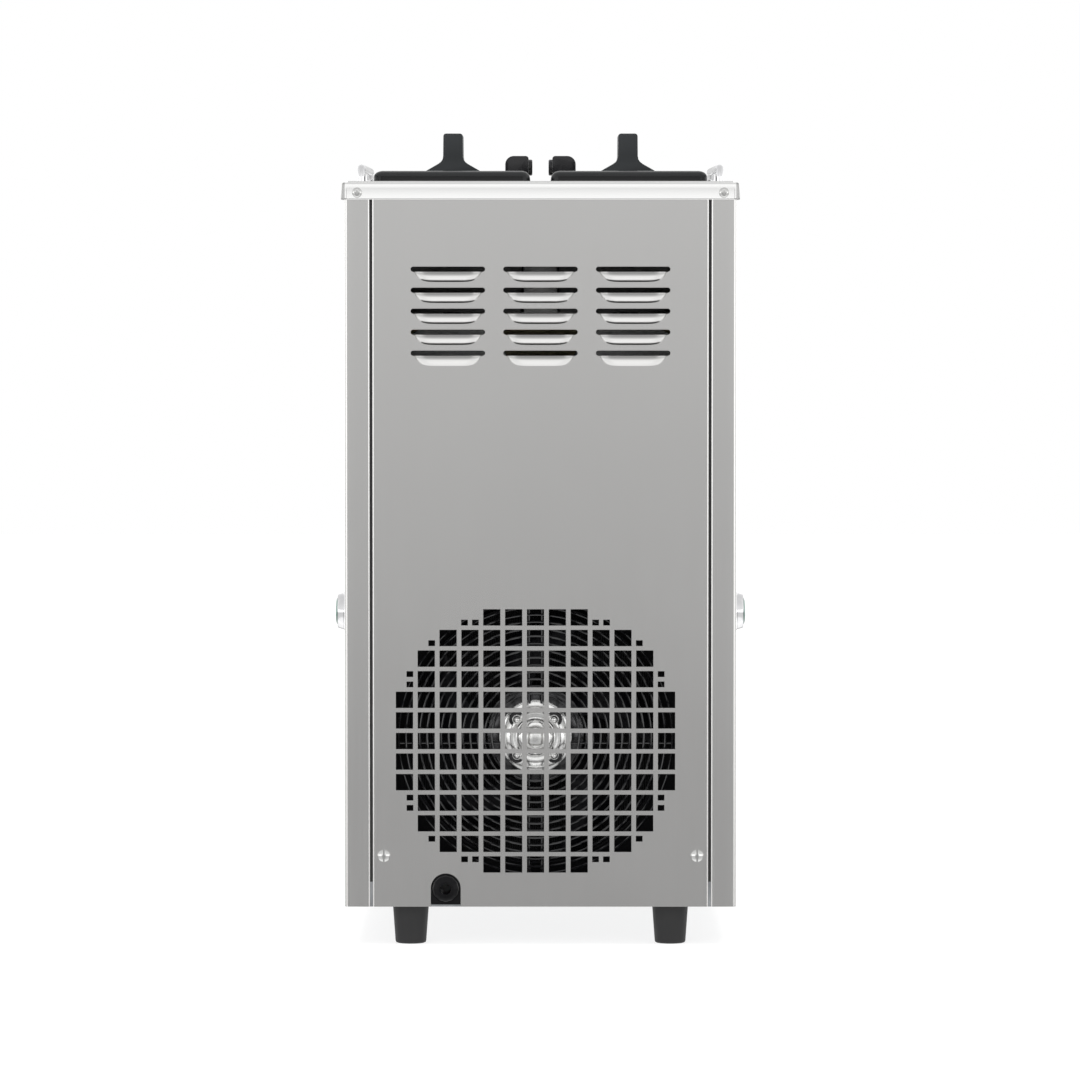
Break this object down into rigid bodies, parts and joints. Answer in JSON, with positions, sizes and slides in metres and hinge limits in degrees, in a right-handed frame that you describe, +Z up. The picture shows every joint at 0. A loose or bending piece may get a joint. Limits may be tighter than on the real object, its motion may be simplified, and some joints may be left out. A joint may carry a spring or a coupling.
{
  "type": "soft serve machine",
  "caption": "Countertop soft serve machine: a tall stainless cabinet with lidded hoppers on top, draw levers and a drip tray in front, and a louvred, grilled rear panel.",
  "frame": {"origin": "on the floor plane, at the middle of the whole machine's width and depth", "axes": "+Z up; -Y is the operator's side with the levers; +Y is the rear with the grille; +X is the operator's right"},
  "size_m": [0.414, 0.658, 0.815],
  "materials": {
    "stainless": "satin stainless sheet",
    "stainless_bright": "polished stainless",
    "chrome": "bright plating",
    "black_plastic": "moulded, fine texture",
    "gloss_black": "smooth moulding",
    "clear_door": "pale moulding",
    "white_plastic": "food-grade moulding",
    "green_plastic": "translucent cap",
    "red_plastic": "cap",
    "blue_plastic": "cap",
    "rubber": "black",
    "seal": "food-grade seal",
    "galvanised": "galvanised sheet",
    "black_wire": "black dip coat",
    "black_paint": "black enamel",
    "grey_paint": "grey enamel",
    "cast_aluminium": "as cast",
    "copper": "drawn tube",
    "smoked_window": "smoked",
    "foam": "rigid foam"
  },
  "bodies": {
    "cabinet": {"base_tray": "galvanised", "corner_posts": "galvanised", "shelf": "galvanised", "rear_panel": "stainless", "side_panel_left": "stainless", "side_panel_right": "stainless", "front_panel": "stainless", "deck": "stainless_bright", "hoppers": "stainless_bright", "deck_rails": "chrome", "case_screws": "stainless_bright", "feet": "rubber", "gland_plate": "black_paint", "cable_gland": "black_plastic", "fan_shroud": "galvanised", "fan_guard": "black_wire", "fan_motor": "cast_aluminium", "condenser": "cast_aluminium", "compressor": "black_paint", "copper_pipes": "copper", "freezing_cylinders": "stainless_bright", "insulation_block": "foam", "gearboxes": "grey_paint", "drive_motor": "grey_paint", "drive_belts": "rubber", "freezer_door": "clear_door", "door_seals": "seal", "hand_nuts": "gloss_black", "lever_pin": "stainless_bright", "star_nozzles": "gloss_black", "control_fascia": "gloss_black", "display_window": "smoked_window", "electrical_box": "galvanised", "side_bezels": "chrome"},
    "hopper_cover_left": {"lid_left": "black_plastic", "lid_handle_left": "black_plastic"},
    "air_inlet_left": {"air_cap_left": "black_plastic"},
    "dasher_left": {"beater_left": "stainless_bright"},
    "input_pulley_left": {"gearbox_pulley_left": "cast_aluminium"},
    "side_button_left": {"side_key_left": "green_plastic"},
    "hopper_cover_right": {"lid_right": "black_plastic", "lid_handle_right": "black_plastic"},
    "air_inlet_right": {"air_cap_right": "black_plastic"},
    "dasher_right": {"beater_right": "stainless_bright"},
    "input_pulley_right": {"gearbox_pulley_right": "cast_aluminium"},
    "side_button_right": {"side_key_right": "green_plastic"},
    "lever_left": {"draw_lever_left": "gloss_black"},
    "piston_left": {"draw_piston_left": "white_plastic"},
    "lever_centre": {"draw_lever_centre": "gloss_black"},
    "piston_centre": {"draw_piston_centre": "white_plastic"},
    "lever_right": {"draw_lever_right": "gloss_black"},
    "piston_right": {"draw_piston_right": "white_plastic"},
    "button_chill": {"key_chill": "blue_plastic"},
    "button_wash": {"key_wash": "white_plastic"},
    "button_stop": {"key_stop": "red_plastic"},
    "drive_pulley": {"motor_pulley": "cast_aluminium"},
    "fan": {"fan_rotor": "black_paint"},
    "tray": {"drip_tray": "stainless"},
    "tray_grid": {"drip_grid": "stainless_bright"},
    "mains_switch": {"power_rocker": "gloss_black"}
  },
  "joints": [
    {"name": "cover_left_lift", "type": "slide", "parent": "cabinet", "child": "hopper_cover_left", "axis": [0, 0, 1], "range_m": [0, 0.2]},
    {"name": "air_inlet_left_pull", "type": "slide", "parent": "cabinet", "child": "air_inlet_left", "axis": [0, 0, 1], "range_m": [0, 0.06]},
    {"name": "cover_right_lift", "type": "slide", "parent": "cabinet", "child": "hopper_cover_right", "axis": [0, 0, 1], "range_m": [0, 0.2]},
    {"name": "air_inlet_right_pull", "type": "slide", "parent": "cabinet", "child": "air_inlet_right", "axis": [0, 0, 1], "range_m": [0, 0.06]},
    {"name": "lever_left_pull", "type": "hinge", "parent": "cabinet", "child": "lever_left", "pos_m": [-0.092, -0.26, 0.652], "axis": [1, 0, 0], "range_deg": [0, 45]},
    {"name": "piston_left_rise", "type": "slide", "parent": "cabinet", "child": "piston_left", "axis": [0, 0, 1], "range_m": [0, 0.0241]},
    {"name": "lever_centre_pull", "type": "hinge", "parent": "cabinet", "child": "lever_centre", "pos_m": [0, -0.26, 0.652], "axis": [1, 0, 0], "range_deg": [0, 45]},
    {"name": "piston_centre_rise", "type": "slide", "parent": "cabinet", "child": "piston_centre", "axis": [0, 0, 1], "range_m": [0, 0.0241]},
    {"name": "lever_right_pull", "type": "hinge", "parent": "cabinet", "child": "lever_right", "pos_m": [0.092, -0.26, 0.652], "axis": [1, 0, 0], "range_deg": [0, 45]},
    {"name": "piston_right_rise", "type": "slide", "parent": "cabinet", "child": "piston_right", "axis": [0, 0, 1], "range_m": [0, 0.0241]},
    {"name": "drive_pulley_spin", "type": "hinge", "parent": "cabinet", "child": "drive_pulley", "pos_m": [0, 0.165, 0.44], "axis": [0, 1, 0], "continuous": true},
    {"name": "input_pulley_left_spin", "type": "hinge", "parent": "cabinet", "child": "input_pulley_left", "pos_m": [-0.092, 0.165, 0.56], "axis": [0, 1, 0], "continuous": true},
    {"name": "dasher_left_spin", "type": "hinge", "parent": "cabinet", "child": "dasher_left", "pos_m": [-0.092, 0, 0.56], "axis": [0, 1, 0], "continuous": true},
    {"name": "input_pulley_right_spin", "type": "hinge", "parent": "cabinet", "child": "input_pulley_right", "pos_m": [0.092, 0.165, 0.56], "axis": [0, 1, 0], "continuous": true},
    {"name": "dasher_right_spin", "type": "hinge", "parent": "cabinet", "child": "dasher_right", "pos_m": [0.092, 0, 0.56], "axis": [0, 1, 0], "continuous": true},
    {"name": "fan_spin", "type": "hinge", "parent": "cabinet", "child": "fan", "pos_m": [0.005, 0.26, 0.208], "axis": [0, 1, 0], "continuous": true},
    {"name": "tray_pull", "type": "slide", "parent": "cabinet", "child": "tray", "axis": [0, -1, 0], "range_m": [0, 0.117]},
    {"name": "grid_lift", "type": "slide", "parent": "tray", "child": "tray_grid", "axis": [0, 0, 1], "range_m": [0, 0.05]},
    {"name": "chill_press", "type": "slide", "parent": "cabinet", "child": "button_chill", "axis": [0, 1, 0], "range_m": [0, 0.002], "stiffness_N_per_m": 600},
    {"name": "wash_press", "type": "slide", "parent": "cabinet", "child": "button_wash", "axis": [0, 1, 0], "range_m": [0, 0.002], "stiffness_N_per_m": 600},
    {"name": "stop_press", "type": "slide", "parent": "cabinet", "child": "button_stop", "axis": [0, 1, 0], "range_m": [0, 0.002], "stiffness_N_per_m": 600},
    {"name": "mains_switch_rock", "type": "hinge", "parent": "cabinet", "child": "mains_switch", "pos_m": [-0.118, -0.1842, 0.706], "axis": [1, 0, 0], "range_deg": [-16, 0]},
    {"name": "side_button_left_press", "type": "slide", "parent": "cabinet", "child": "side_button_left", "axis": [1, 0, 0], "range_m": [0, 0.003], "stiffness_N_per_m": 600},
    {"name": "side_button_right_press", "type": "slide", "parent": "cabinet", "child": "side_button_right", "axis": [-1, 0, 0], "range_m": [0, 0.003], "stiffness_N_per_m": 600}
  ],
  "couplings": [
    {"joint": "piston_left_rise", "follows": "lever_left_pull", "m_per_rad": 0.0306},
    {"joint": "piston_centre_rise", "follows": "lever_centre_pull", "m_per_rad": 0.0306},
    {"joint": "piston_right_rise", "follows": "lever_right_pull", "m_per_rad": 0.0306},
    {"joint": "input_pulley_left_spin", "follows": "drive_pulley_spin", "ratio": 0.5},
    {"joint": "dasher_left_spin", "follows": "drive_pulley_spin", "ratio": 0.083333},
    {"joint": "input_pulley_right_spin", "follows": "drive_pulley_spin", "ratio": 0.5},
    {"joint": "dasher_right_spin", "follows": "drive_pulley_spin", "ratio": 0.083333}
  ]
}
